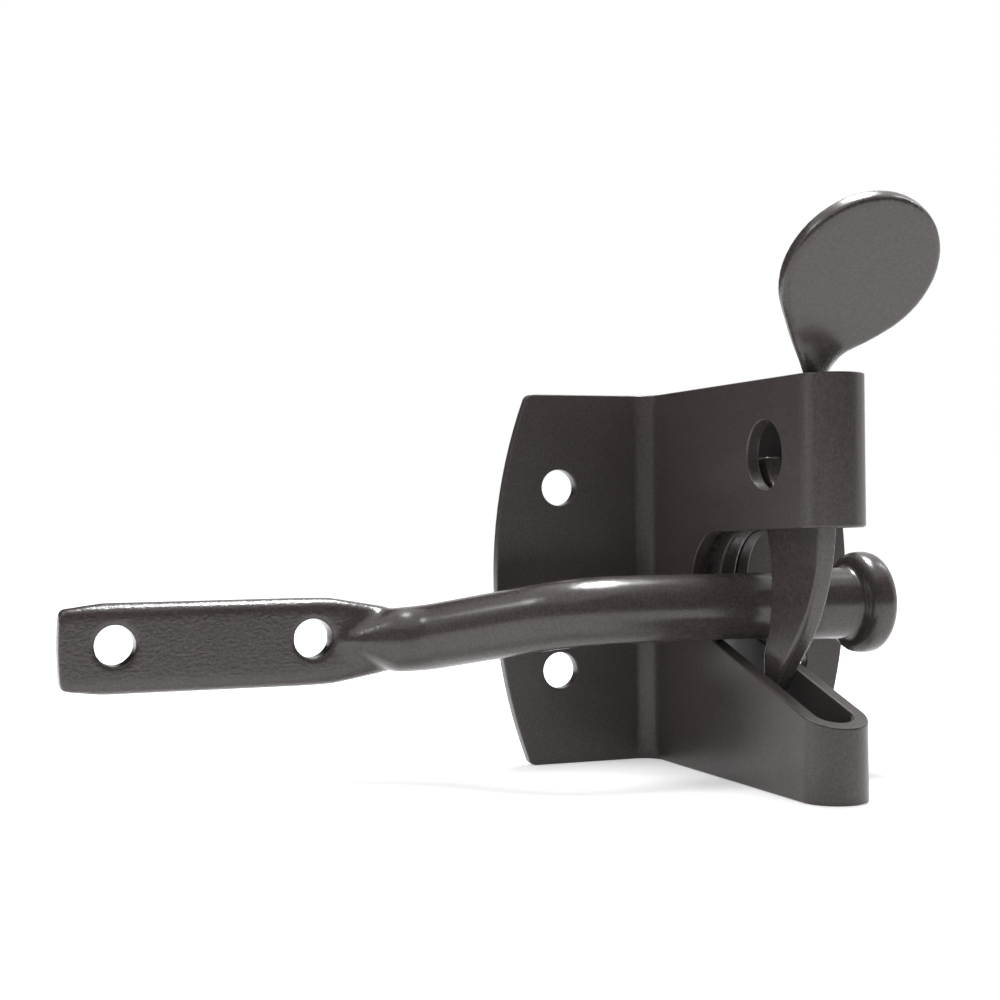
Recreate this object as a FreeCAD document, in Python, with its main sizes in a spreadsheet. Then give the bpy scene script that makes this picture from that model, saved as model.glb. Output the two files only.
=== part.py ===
import FreeCAD, Part
import math
import os
import Sketcher
from FreeCAD import Rotation, Vector

# Spring loaded gate latch: a folded case for the post, a hooked pawl whose stem
# twists into a thumb tab, the rivet and spring that carry and close the pawl,
# and the forged striker bar that the gate carries.
#
# The frame: X runs along the striker bar, Y runs from the nose (negative) to
# the back face of the wings (zero), and Z is up. The origin is the centre of
# the four screw holes on the back face. Sizes are millimetres and degrees.

SIZES = [
    # The case, one folded sheet
    ("case_height", 66.7, "height of walls and nose"),
    ("case_reach", 61.0, "back face to the front of the nose"),
    ("sheet_thickness", 2.3, "sheet of the case"),
    ("wall_gap", 6.4, "clear space between the two walls"),
    ("fold_radius", 3.5, "inside radius of the folds to the wings"),
    ("wing_span", 71.8, "over both wings at mid height"),
    ("wing_end_span", 59.2, "over both wings at the top and bottom"),
    ("wing_corner", 1.5, "rounding of the wing corners"),
    ("screw_hole", 6.5, "diameter of the four screw holes"),
    ("screw_across", 47.6, "screw hole spacing along X"),
    ("screw_up", 33.0, "screw hole spacing along Z"),
    ("lock_hole", 11.2, "diameter of the padlock hole"),
    ("lock_from_nose", 16.5, "nose front to the padlock hole"),
    ("lock_from_top", 12.35, "top of the case to the padlock hole"),
    # The throat that takes the bar
    ("throat_from_back", 18.8, "back face to the closed end of the throat"),
    ("throat_above", 8.3, "top edge of the throat above mid height"),
    ("throat_below", 7.7, "floor of the throat below mid height"),
    ("roof_slope", 1.5, "rise of the throat's top edge towards the nose"),
    ("ramp_slope", 18.06, "fall of the throat's floor towards the nose"),
    ("throat_top_radius", 9.0, "inner corner over the bar"),
    ("throat_floor_radius", 5.5, "inner corner under the bar"),
    # The pivot rivet
    ("pivot_from_back", 9.5, "back face to the pivot"),
    ("pivot_below", 4.5, "pivot below mid height"),
    ("rivet_diameter", 6.0, "shank of the rivet"),
    ("rivet_fit", 0.05, "clearance of the rivet in the walls, a side"),
    ("pivot_fit", 0.075, "running clearance of the pawl on the rivet, a side"),
    ("made_head", 9.5, "diameter of the made rivet head"),
    ("made_head_height", 2.0, "height of the made rivet head"),
    ("set_head", 9.0, "diameter of the rivet head set on assembly"),
    ("set_head_height", 1.8, "height of the rivet head set on assembly"),
    # The pawl, one stamped plate
    ("plate_thickness", 3.0, "plate of the pawl"),
    ("boss_diameter", 13.0, "eye of the pawl round the rivet"),
    ("stop_gap", 0.3, "stem to the inside of the nose at rest"),
    ("stop_height", 7.0, "height of the stop on the stem's front edge"),
    ("stop_below_top", 6.6, "top of the stem to the stop"),
    ("stem_width", 5.8, "stem where it leaves the case"),
    ("stem_setback", 1.6, "stop to the stem's front edge at the top"),
    ("stem_over_case", 0.25, "flat part of the stem over the case"),
    ("lock_clearance", 0.8, "notch in the stem to the padlock hole"),
    ("hook_radius", 10.0, "hook over the bar"),
    ("hook_ahead", 2.5, "centre of the hook ahead of the bar"),
    ("hook_above", 3.0, "centre of the hook above the bar"),
    ("beak_root", 6.1, "hook centre to the beak's rear edge, at the root"),
    ("beak_waist", 10.8, "foot of the beak's rear curve under the hook centre"),
    ("beak_waist_ahead", 4.8, "foot of the beak's rear curve ahead of the hook centre"),
    ("beak_rear_radius", 25.0, "hollow of the beak's rear edge"),
    ("tip_drop", 16.8, "tip of the beak under the hook centre"),
    ("tip_ahead", 7.7, "tip of the beak ahead of the hook centre"),
    ("tip_width", 2.6, "width of the beak's tip"),
    ("tip_rounding", 1.4, "rounding of the beak's tip"),
    ("chin_ahead", 12.5, "foot of the beak's front curve ahead of the hook centre"),
    ("chin_drop", 11.4, "foot of the beak's front curve under the hook centre"),
    ("brow_setback", 2.8, "stop to the head of the beak's front curve"),
    ("brow_below", 8.0, "stop to the head of the beak's front curve, downwards"),
    ("beak_front_radius", 32.0, "bow of the beak's front edge"),
    ("leg_drop", 4.3, "straight of the rear leg behind the bar"),
    ("rear_lean", 35.0, "lean of the pawl's rear edge"),
    ("rear_length", 20.0, "straight of the pawl's rear edge"),
    ("shoulder_forward", 6.3, "rear edge to the shoulder, forwards"),
    ("shoulder_rise", 4.4, "rear edge to the shoulder, upwards"),
    # The thumb tab at the top of the stem
    ("tab_lean", 38.0, "lean of the tab towards the nose"),
    ("tab_base_rise", 2.4, "foot of the tab over the flat stem"),
    ("tab_radius", 13.05, "round of the tab"),
    ("tab_centre_along", 15.8, "foot of the tab to its round's centre"),
    ("tab_centre_side", 1.0, "round's centre to the right of the stem"),
    ("tab_rim", 0.7, "rounding of the tab's rim"),
    ("twist_along", 2.0, "foot of the tab to the end of the twist"),
    ("web_lean", 33.0, "left edge of the tab's web, from straight up"),
    ("web_lean_right", 53.0, "right edge of the tab's web, from straight up"),
    ("twist_inset", 0.15, "twisted neck inside the faces that it runs into"),
    ("twist_overlap", 0.4, "twisted neck within the tab and within the stem"),
    # The closing spring
    ("wire", 1.2, "wire of the spring"),
    ("coil_radius", 4.2, "rivet axis to the middle of the wire"),
    ("moving_leg", 12.9, "length of the leg on the pawl"),
    ("fixed_leg", 6.0, "length of the leg on the case"),
    ("moving_leg_turn", 15.0, "leg on the pawl turned from the pawl's rear edge"),
    ("anchor_hole", 1.7, "hole in the right wall for the fixed leg"),
    # The striker bar, one forging
    ("bar_diameter", 11.3, "round bar"),
    ("bar_from_back", 29.0, "back face to the bar's axis in the latch"),
    ("bar_seat", 0.3, "neck of the bar over the throat's floor"),
    ("neck_diameter", 12.4, "swollen neck beside the head"),
    ("neck_start", 7.0, "case middle to where the neck starts to swell"),
    ("neck_full", 11.0, "case middle to the full neck"),
    ("head_diameter", 17.7, "head of the bar"),
    ("head_face", 19.2, "case middle to the near face of the head"),
    ("head_width", 3.4, "near face of the head to its far rounding"),
    ("head_dome", 1.6, "height of the head's domed end"),
    ("head_rounding", 2.4, "rounding of the head's two edges"),
    ("bend_angle", 50.0, "turn of each of the two bends"),
    ("bend_front", 31.5, "case middle to the corner of the front bend"),
    ("bend_front_radius", 16.0, "front bend, at the bar's axis"),
    ("bend_back_radius", 10.0, "rear bend, at the bar's axis"),
    ("flat_below", 9.6, "middle of the flat end under mid height"),
    ("flat_height", 15.2, "height of the flat end"),
    ("flat_thickness", 4.8, "thickness of the flat end"),
    ("flat_edge", 1.9, "rounding along the flat end"),
    ("flat_taper", 9.8, "length of the change from round to flat"),
    ("flat_length", 46.3, "length of the flat end"),
    ("flat_end_bow", 60.0, "bow of the flat end's outline"),
    ("nip_length", 7.5, "narrowed length at the free end of the flat"),
    ("nip_depth", 1.0, "narrowing at the free end of the flat, a side"),
    ("bolt_hole", 6.8, "diameter of the two holes in the flat end"),
    ("bolt_first", 4.0, "start of the flat end to its first hole"),
    ("bolt_spacing", 33.2, "spacing of the two holes in the flat end"),
    ("bolt_rise", 0.6, "bolt holes above the middle of the flat end"),
]

VALUES = {name: value for name, value, meaning in SIZES}


class Measure:
    """A value and the sheet formula behind it: it draws at true size and binds."""

    def __init__(self, value, formula):
        self.value = float(value)
        self.formula = formula

    def join(self, other, sign, value):
        return Measure(value, "(" + self.formula + " " + sign + " " + other.formula + ")")

    def __add__(self, other):
        other = measure(other)
        return self.join(other, "+", self.value + other.value)

    def __radd__(self, other):
        return measure(other) + self

    def __sub__(self, other):
        other = measure(other)
        return self.join(other, "-", self.value - other.value)

    def __rsub__(self, other):
        return measure(other) - self

    def __mul__(self, other):
        other = measure(other)
        return self.join(other, "*", self.value * other.value)

    def __rmul__(self, other):
        return measure(other) * self

    def __truediv__(self, other):
        other = measure(other)
        return self.join(other, "/", self.value / other.value)

    def __neg__(self):
        return Measure(-self.value, "(0 - " + self.formula + ")")


def measure(value):
    """A measure as it is, or a plain number as a measure."""
    if isinstance(value, Measure):
        return value
    return Measure(value, repr(value) if value >= 0 else "(0 - " + repr(-value) + ")")


def size(name):
    """The measure of a size in the sheet."""
    return Measure(VALUES[name], "Sizes." + name)


def root(value):
    return Measure(math.sqrt(value.value), "sqrt(" + value.formula + ")")


def sine(angle):
    return Measure(math.sin(math.radians(angle.value)), "sin(" + angle.formula + ")")


def cosine(angle):
    return Measure(math.cos(math.radians(angle.value)), "cos(" + angle.formula + ")")


def slope(angle):
    return Measure(math.tan(math.radians(angle.value)), "tan(" + angle.formula + ")")


def bind(thing, name, value):
    """Set a property from the sheet."""
    thing.setExpression(name, measure(value).formula)


def fill_sheet(document):
    """Put every size in the sheet, with its name and meaning beside it."""
    sheet = document.addObject("Spreadsheet::Sheet", "Sizes")
    for row, (name, value, meaning) in enumerate(SIZES, start=1):
        sheet.set("A" + str(row), str(value))
        sheet.setAlias("A" + str(row), name)
        sheet.set("B" + str(row), meaning)
    document.recompute()


def new_body(document, name):
    body = document.addObject("PartDesign::Body", name)
    body.Label = name
    return body


def new_sketch(body, name, plane, turn_axis=None, turn=0.0, shift=(0.0, 0.0, 0.0)):
    """A sketch on one of the body's own planes, turned and shifted by measures."""
    sketch = body.newObject("Sketcher::SketchObject", name)
    support = [item for item in body.Origin.OriginFeatures if item.Role == plane][0]
    sketch.AttachmentSupport = [(support, "")]
    sketch.MapMode = "FlatFace"
    if turn_axis is not None:
        start = Rotation(Vector(*turn_axis), measure(turn).value)
        sketch.AttachmentOffset = FreeCAD.Placement(Vector(), start)
        bind(sketch, "AttachmentOffset.Rotation.Angle", turn)
    for axis, move in zip("xyz", shift):
        bind(sketch, "AttachmentOffset.Base." + axis, move)
    return sketch


def pin_point(sketch, piece, end, across, up):
    """Hold a point of the sketch at two measures from the sketch's origin."""
    for kind, axis, distance in (("DistanceX", -2, across), ("DistanceY", -1, up)):
        if measure(distance).value == 0:
            sketch.addConstraint(Sketcher.Constraint("PointOnObject", piece, end, axis))
            continue
        start = measure(distance).value
        number = sketch.addConstraint(Sketcher.Constraint(kind, -1, 1, piece, end, start))
        bind(sketch, "Constraints[" + str(number) + "]", distance)


def hold_radius(sketch, piece, radius):
    start = measure(radius).value
    number = sketch.addConstraint(Sketcher.Constraint("Radius", piece, start))
    bind(sketch, "Constraints[" + str(number) + "]", radius)


def draw_circle(sketch, across, up, radius):
    centre = Vector(measure(across).value, measure(up).value, 0)
    shape = Part.Circle(centre, Vector(0, 0, 1), measure(radius).value)
    piece = sketch.addGeometry(shape, False)
    pin_point(sketch, piece, 3, across, up)
    hold_radius(sketch, piece, radius)


def arc_through(first, last, radius):
    """The arc of under half a turn from first to last, turning left for a radius
    over zero and right for one under zero."""
    chord = last - first
    half = chord.Length / 2
    side = Vector(-chord.y, chord.x, 0).normalize()
    depth = math.sqrt(max(radius * radius - half * half, 0.0))
    centre = (first + last) / 2 + side * (depth if radius > 0 else -depth)
    start = math.atan2(first.y - centre.y, first.x - centre.x)
    end = math.atan2(last.y - centre.y, last.x - centre.x)
    circle = Part.Circle(centre, Vector(0, 0, 1), abs(radius))
    if radius > 0:
        return Part.ArcOfCircle(circle, start, end), 1, 2
    return Part.ArcOfCircle(circle, end, start), 2, 1


def draw_outline(sketch, corners, closed=True):
    """Draw an outline from its corners, each (across, up, rounding, bow).

    The rounding is the radius of the corner, between two straight edges. The bow
    is the radius of the edge that leads on from the corner: zero is straight,
    over zero turns left and under zero turns right."""
    count = len(corners)
    points = [Vector(measure(c[0]).value, measure(c[1]).value, 0) for c in corners]
    rounds = [measure(c[2]) for c in corners]
    starts, ends = list(points), list(points)
    for i in range(count):
        if rounds[i].value > 0:
            back = (points[i - 1] - points[i]).normalize()
            ahead = (points[(i + 1) % count] - points[i]).normalize()
            share = back.dot(ahead)
            reach = rounds[i].value * math.sqrt((1 + share) / (1 - share))
            ends[i] = points[i] + back * reach
            starts[i] = points[i] + ahead * reach
    edges = []
    for i in range(count if closed else count - 1):
        after = (i + 1) % count
        bow = measure(corners[i][3])
        if bow.value == 0:
            piece = sketch.addGeometry(Part.LineSegment(starts[i], ends[after]), False)
            edges.append((piece, 1, 2))
        else:
            arc, first, last = arc_through(starts[i], ends[after], bow.value)
            piece = sketch.addGeometry(arc, False)
            edges.append((piece, first, last))
            hold_radius(sketch, piece, bow if bow.value > 0 else -bow)
    for i in range(count):
        if not closed and i in (0, count - 1):
            edge = edges[0] if i == 0 else edges[-1]
            pin_point(sketch, edge[0], edge[1] if i == 0 else edge[2], *corners[i][:2])
            continue
        into, out = edges[i - 1], edges[i]
        if rounds[i].value > 0:
            round_corner(sketch, into, out, (ends[i], points[i], starts[i]), corners[i])
        else:
            join = Sketcher.Constraint("Coincident", into[0], into[2], out[0], out[1])
            sketch.addConstraint(join)
            pin_point(sketch, out[0], out[1], *corners[i][:2])


def round_corner(sketch, into, out, places, corner):
    """Round the corner between two straight edges, held by the corner's own point."""
    end, point, start = places
    across, up, radius = corner[:3]
    turn = (point - end).cross(start - point).z
    bow = measure(radius).value if turn > 0 else -measure(radius).value
    arc, first, last = arc_through(end, start, bow)
    piece = sketch.addGeometry(arc, False)
    sketch.addConstraint(Sketcher.Constraint("Tangent", into[0], into[2], piece, first))
    sketch.addConstraint(Sketcher.Constraint("Tangent", piece, last, out[0], out[1]))
    hold_radius(sketch, piece, radius)
    mark = sketch.addGeometry(Part.Point(point), True)
    sketch.addConstraint(Sketcher.Constraint("PointOnObject", mark, 1, into[0]))
    sketch.addConstraint(Sketcher.Constraint("PointOnObject", mark, 1, out[0]))
    pin_point(sketch, mark, 1, across, up)


def pad(body, name, sketch, length, both_sides=False, turned=False):
    feature = body.newObject("PartDesign::Pad", name)
    feature.Profile = sketch
    feature.SideType = "Symmetric" if both_sides else "One side"
    feature.Reversed = turned
    bind(feature, "Length", length)
    return feature


def pocket_through(body, name, sketch, both_sides=False, turned=False):
    """Cut the sketch through the body, and make sure that it cut."""
    body.Document.recompute()
    before = body.Shape.Volume
    feature = body.newObject("PartDesign::Pocket", name)
    feature.Profile = sketch
    feature.SideType = "Symmetric" if both_sides else "One side"
    feature.Type = "ThroughAll"
    feature.Reversed = turned
    body.Document.recompute()
    if body.Shape.Volume > before - 0.01:
        raise RuntimeError(name + " cuts nothing")
    return feature


def loft_through(body, name, sections):
    """Add a loft, from the first section to the last."""
    feature = body.newObject("PartDesign::AdditiveLoft", name)
    feature.Profile = sections[0]
    feature.Sections = sections[1:]
    body.Document.recompute()


def fillet(body, name, edges, radius):
    """Round the numbered edges of the body's last feature."""
    base = body.Tip
    feature = body.newObject("PartDesign::Fillet", name)
    feature.Base = (base, ["Edge" + str(number) for number in edges])
    bind(feature, "Radius", radius)
    body.Document.recompute()
    return feature


def edges_where(shape, test):
    """Numbers of the edges whose middle and direction pass the test."""
    found = []
    for number, edge in enumerate(shape.Edges, start=1):
        middle = edge.valueAt((edge.FirstParameter + edge.LastParameter) / 2)
        if test(edge, middle):
            found.append(number)
    return found


def edges_across(shape, spots):
    """Numbers of the straight edges along X that pass the spots in Y and Z."""
    def passes(edge, middle):
        ends = [vertex.Point for vertex in edge.Vertexes]
        if len(ends) != 2 or abs(ends[0].y - ends[1].y) + abs(ends[0].z - ends[1].z) > 1e-6:
            return False
        return any(math.hypot(middle.y - y, middle.z - z) < 0.02 for y, z in spots)
    return edges_where(shape, passes)


def spot(point):
    return (measure(point[0]).value, measure(point[1]).value)


# Places that more than one piece uses
case_top = size("case_height") / 2
outer_half = size("wall_gap") / 2 + size("sheet_thickness")
pivot = (-size("pivot_from_back"), -size("pivot_below"))
lock = (size("lock_from_nose") - size("case_reach"), case_top - size("lock_from_top"))
ramp = slope(size("ramp_slope"))
bar_y = -size("bar_from_back")
floor_at_bar = -size("throat_below") - ramp * (size("bar_from_back") - size("throat_from_back"))
bar_lift = (size("neck_diameter") / 2 + size("bar_seat")) / cosine(size("ramp_slope"))
bar_z = floor_at_bar + bar_lift
spring_x = (size("plate_thickness") + size("wall_gap")) / 4
anchor_turn = size("rear_lean") - size("moving_leg_turn")
anchor = (pivot[0] - size("coil_radius") * cosine(anchor_turn) - size("fixed_leg") * sine(anchor_turn),
          pivot[1] - size("coil_radius") * sine(anchor_turn) + size("fixed_leg") * cosine(anchor_turn))


def make_case(document):
    """The case: half of the fold and one wing, mirrored, then the cuts."""
    body = new_body(document, "latch_case")
    reach, sheet = size("case_reach"), size("sheet_thickness")
    inner = size("wall_gap") / 2
    fold = size("fold_radius")
    nose_y = -(reach - outer_half)
    fold_x = outer_half + fold

    sketch = new_sketch(body, "fold_section", "XY_Plane")
    draw_outline(sketch, [
        (0, -reach, 0, outer_half),
        (outer_half, nose_y, 0, 0),
        (outer_half, -sheet - fold, 0, -fold),
        (fold_x, -sheet, 0, 0),
        (fold_x, 0, 0, fold + sheet),
        (inner, -sheet - fold, 0, 0),
        (inner, nose_y, 0, -inner),
        (0, sheet - reach, 0, 0),
    ])
    fold_pad = pad(body, "folded_wall", sketch, size("case_height"), both_sides=True)

    widest, end = size("wing_span") / 2, size("wing_end_span") / 2
    rise = widest - end
    arch = (rise * rise + case_top * case_top) / (2 * rise)
    sketch = new_sketch(body, "wing_outline", "XZ_Plane")
    draw_outline(sketch, [
        (fold_x, -case_top, 0, 0),
        (end, -case_top, 0, arch),
        (end, case_top, 0, 0),
        (fold_x, case_top, 0, 0),
    ])
    wing_pad = pad(body, "wing", sketch, sheet)
    document.recompute()
    wing_pad.Reversed = wing_pad.Shape.BoundBox.YMax > sheet.value / 2
    document.recompute()

    mirror = body.newObject("PartDesign::Mirrored", "other_half")
    mirror.Originals = [fold_pad, wing_pad]
    side = [item for item in body.Origin.OriginFeatures if item.Role == "YZ_Plane"][0]
    mirror.MirrorPlane = (side, [""])
    body.Tip = mirror
    document.recompute()

    corners = edges_where(body.Shape, lambda edge, middle:
                          abs(abs(middle.x) - end.value) < 0.01
                          and abs(abs(middle.z) - case_top.value) < 0.01
                          and abs(edge.Length - sheet.value) < 0.01)
    fillet(body, "wing_corners", corners, size("wing_corner"))

    cut_throat(body)

    sketch = new_sketch(body, "screw_holes", "XZ_Plane")
    for side_x in (-1, 1):
        for side_z in (-1, 1):
            draw_circle(sketch, side_x * size("screw_across") / 2,
                        side_z * size("screw_up") / 2, size("screw_hole") / 2)
    pocket_through(body, "screw_hole_cut", sketch, both_sides=True)

    sketch = new_sketch(body, "wall_holes", "YZ_Plane")
    draw_circle(sketch, lock[0], lock[1], size("lock_hole") / 2)
    draw_circle(sketch, pivot[0], pivot[1], size("rivet_diameter") / 2 + size("rivet_fit"))
    pocket_through(body, "wall_hole_cut", sketch, both_sides=True)

    sketch = new_sketch(body, "anchor_hole", "YZ_Plane")
    draw_circle(sketch, anchor[0], anchor[1], size("anchor_hole") / 2)
    pocket_through(body, "anchor_hole_cut", sketch, turned=True)
    return body


def cut_throat(body):
    """The throat: open at the nose, with a ramp that guides the bar in."""
    back, reach = -size("throat_from_back"), size("case_reach")
    past = -(reach + size("wall_gap"))
    roof = size("throat_above")
    roof_end = roof + slope(size("roof_slope")) * (back - past)
    floor_start = -size("throat_below")
    floor_end = floor_start - ramp * (back - past)
    sketch = new_sketch(body, "throat", "YZ_Plane")
    draw_outline(sketch, [
        (back, floor_start, size("throat_floor_radius"), 0),
        (back, roof, size("throat_top_radius"), 0),
        (past, roof_end, 0, 0),
        (past, floor_end, 0, 0),
    ])
    pocket_through(body, "throat_cut", sketch, both_sides=True)


def make_pawl(document):
    """The pawl: thumb tab, twisted neck and the hooked plate on the rivet."""
    body = new_body(document, "latch_pawl")
    stem_top = case_top + size("stem_over_case")
    inner = size("wall_gap") / 2
    half_plate = size("plate_thickness") / 2
    nose_inside = size("case_reach") - outer_half + root(inner * inner - half_plate * half_plate)
    stop_y = size("stop_gap") - nose_inside
    front_y = stop_y + size("stem_setback")
    neck_y = front_y + size("stem_width") / 2
    make_tab(body, neck_y, stem_top)
    make_twist(body, neck_y, stem_top)
    make_plate(body, stop_y, front_y, stem_top)
    return body


def web_edges():
    """Left and right edge of the tab where the twist ends."""
    side, radius = size("tab_centre_side"), size("tab_radius")
    lean, lean_right = size("web_lean"), size("web_lean_right")
    depth = size("tab_centre_along") - size("twist_along")
    left = side - radius * cosine(lean) + (depth - radius * sine(lean)) * slope(lean)
    right = (side + radius * cosine(lean_right)
             - (depth - radius * sine(lean_right)) * slope(lean_right))
    return left, right


def make_tab(body, neck_y, stem_top):
    """The round tab with its web, on a plane that leans towards the nose."""
    lean = size("tab_lean")
    base_z = stem_top + size("tab_base_rise")
    radius = size("tab_radius")
    side, along = size("tab_centre_side"), size("tab_centre_along")
    foot = size("twist_along")
    left, right = web_edges()
    web_left = (side - radius * cosine(size("web_lean")), along - radius * sine(size("web_lean")))
    web_right = (side + radius * cosine(size("web_lean_right")),
                 along - radius * sine(size("web_lean_right")))
    sketch = new_sketch(body, "tab_outline", "XZ_Plane", (1, 0, 0), lean,
                        (0, base_z, -neck_y))
    draw_outline(sketch, [
        (left, foot, 0, 0),
        (right, foot, 0, 0),
        (web_right[0], web_right[1], 0, radius),
        (side + radius, along, 0, radius),
        (side, along + radius, 0, radius),
        (side - radius, along, 0, radius),
        (web_left[0], web_left[1], 0, 0),
    ])
    pad(body, "tab", sketch, size("plate_thickness"), both_sides=True)
    body.Document.recompute()

    middle = Vector(0, neck_y.value, base_z.value)
    turn = math.radians(lean.value)
    upward = Vector(0, -math.sin(turn), math.cos(turn))
    outward = Vector(0, -math.cos(turn), -math.sin(turn))
    half = size("plate_thickness").value / 2

    def on_rim(edge, point):
        off = point - middle
        return abs(abs(off.dot(outward)) - half) < 0.01 and off.dot(upward) > foot.value + 0.05

    fillet(body, "tab_rim_rounding", edges_where(body.Shape, on_rim), size("tab_rim"))


def make_twist(body, neck_y, stem_top):
    """The neck: the plate turns a quarter about the stem, its front edge to the left."""
    lean = size("tab_lean")
    base_z = stem_top + size("tab_base_rise")
    inset, overlap = size("twist_inset"), size("twist_overlap")
    width = size("stem_width") - inset * 2
    thick = size("plate_thickness") - inset * 2
    corner = size("tab_rim")
    foot = size("twist_along") + overlap
    left, right = web_edges()
    top_width = right - left - inset * 2
    top_side = (left + right) / 2

    low = new_sketch(body, "stem_section", "XY_Plane", (0, 0, 1), -90,
                     (0, neck_y, stem_top - overlap))
    draw_slab(low, 0, 0, width, thick, corner)
    middle = new_sketch(body, "half_turned_section", "XY_Plane", (0, 0, 1), -45,
                        (0, neck_y, stem_top + size("tab_base_rise") * 0.85))
    draw_slab(middle, 0, 0, width * 1.1, thick, corner)
    high = new_sketch(body, "tab_section", "XY_Plane", (1, 0, 0), lean,
                      (0, neck_y - foot * sine(lean), base_z + foot * cosine(lean)))
    draw_slab(high, top_side, 0, top_width, thick, corner)
    loft_through(body, "twisted_neck", [high, middle, low])


def draw_slab(sketch, across, up, width, thick, corner):
    """A rectangle with rounded corners about a middle."""
    half_wide, half_thick = measure(width) / 2, measure(thick) / 2
    draw_outline(sketch, [
        (measure(across) - half_wide, measure(up) - half_thick, corner, 0),
        (measure(across) + half_wide, measure(up) - half_thick, corner, 0),
        (measure(across) + half_wide, measure(up) + half_thick, corner, 0),
        (measure(across) - half_wide, measure(up) + half_thick, corner, 0),
    ])


def make_plate(body, stop_y, front_y, stem_top):
    """The flat plate: stem with its stop, padlock notch, hook, beak and eye."""
    hook = (bar_y - size("hook_ahead"), bar_z + size("hook_above"))
    bend = size("hook_radius")
    eye = size("boss_diameter") / 2
    lean = size("rear_lean")
    notch = size("lock_hole") / 2 + size("lock_clearance")

    stop_top = stem_top - size("stop_below_top")
    stop_foot = stop_top - size("stop_height")
    brow = (stop_y + size("brow_setback"), stop_foot - size("brow_below"))
    chin = (hook[0] - size("chin_ahead"), hook[1] - size("chin_drop"))
    tip = (hook[0] - size("tip_ahead"), hook[1] - size("tip_drop"))
    heel = (tip[0] + size("tip_width"), tip[1] + size("tip_width") * 0.38)
    waist = (hook[0] - size("beak_waist_ahead"), hook[1] - size("beak_waist"))
    root_in = (hook[0] - size("beak_root"), hook[1] + bend)
    leg_foot = (hook[0] + bend, hook[1] - size("leg_drop"))
    eye_low = (pivot[0] - eye * sine(measure(9)), pivot[1] - eye * cosine(measure(9)))
    eye_rear = (pivot[0] + eye, pivot[1])
    eye_high = (pivot[0] + eye * cosine(lean), pivot[1] + eye * sine(lean))
    rear_top = (eye_high[0] - size("rear_length") * sine(lean),
                eye_high[1] + size("rear_length") * cosine(lean))
    shoulder = (rear_top[0] - size("shoulder_forward"), rear_top[1] + size("shoulder_rise"))

    sketch = new_sketch(body, "plate_outline", "YZ_Plane")
    draw_outline(sketch, [
        (front_y, stem_top, 0, 0),
        (stop_y, stop_top, 0, 0),
        (stop_y, stop_foot, 0, 0),
        (brow[0], brow[1], 0, size("beak_front_radius")),
        (chin[0], chin[1], 0, 0),
        (tip[0], tip[1], 0, 0),
        (heel[0], heel[1], 0, 0),
        (waist[0], waist[1], 0, -size("beak_rear_radius")),
        (root_in[0], root_in[1], 0, 0),
        (hook[0], hook[1] + bend, 0, -bend),
        (hook[0] + bend, hook[1], 0, 0),
        (leg_foot[0], leg_foot[1], 0, 0),
        (eye_low[0], eye_low[1], 0, eye),
        (eye_rear[0], eye_rear[1], 0, eye),
        (eye_high[0], eye_high[1], 0, 0),
        (rear_top[0], rear_top[1], 0, 0),
        (shoulder[0], shoulder[1], 0, 0),
        (lock[0] + notch, lock[1], 0, -notch),
        (lock[0], lock[1] - notch, 0, -notch),
        (lock[0] - notch, lock[1], 0, 0),
        (front_y + size("stem_width"), stem_top, 0, 0),
    ])
    pad(body, "hooked_plate", sketch, size("plate_thickness"), both_sides=True)
    body.Document.recompute()

    rounds = (
        ("tip_rounding", [tip, heel], size("tip_rounding")),
        ("shoulder_rounding", [rear_top, shoulder], size("tip_rounding") * 3),
        ("corner_rounding", [leg_foot, (stop_y, stop_top), (stop_y, stop_foot), chin],
         size("tip_rounding")),
    )
    for name, corners, radius in rounds:
        fillet(body, name, edges_across(body.Shape, [spot(c) for c in corners]), radius)

    sketch = new_sketch(body, "pivot_hole", "YZ_Plane")
    draw_circle(sketch, pivot[0], pivot[1], size("rivet_diameter") / 2 + size("pivot_fit"))
    pocket_through(body, "pivot_hole_cut", sketch, both_sides=True)


def make_rivet(document):
    """The rivet: a made head on the left wall and a set head on the right one."""
    body = new_body(document, "pivot_rivet")
    shank = size("rivet_diameter") / 2
    made, made_high = size("made_head") / 2, size("made_head_height")
    formed, formed_high = size("set_head") / 2, size("set_head_height")
    rim = 0.3
    sketch = new_sketch(body, "rivet_profile", "XY_Plane")
    draw_outline(sketch, [
        (-outer_half - made_high, 0, 0, 0),
        (outer_half + formed_high, 0, 0,
         (formed * formed + formed_high * formed_high * (1 - rim) * (1 - rim))
         / (2 * formed_high * (1 - rim))),
        (outer_half + formed_high * rim, formed, 0, 0),
        (outer_half, formed, 0, 0),
        (outer_half, shank, 0, 0),
        (-outer_half, shank, 0, 0),
        (-outer_half, made, 0, 0),
        (-outer_half - made_high * rim, made, 0,
         (made * made + made_high * made_high * (1 - rim) * (1 - rim))
         / (2 * made_high * (1 - rim))),
    ])
    revolve(body, "rivet", sketch)
    bind(body, "Placement.Base.y", pivot[0])
    bind(body, "Placement.Base.z", pivot[1])
    document.recompute()
    return body


def revolve(body, name, sketch):
    """Turn a profile about the sketch's own X axis."""
    feature = body.newObject("PartDesign::Revolution", name)
    feature.Profile = sketch
    feature.ReferenceAxis = (sketch, ["H_Axis"])
    feature.Angle = 360
    body.Document.recompute()
    return feature


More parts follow.
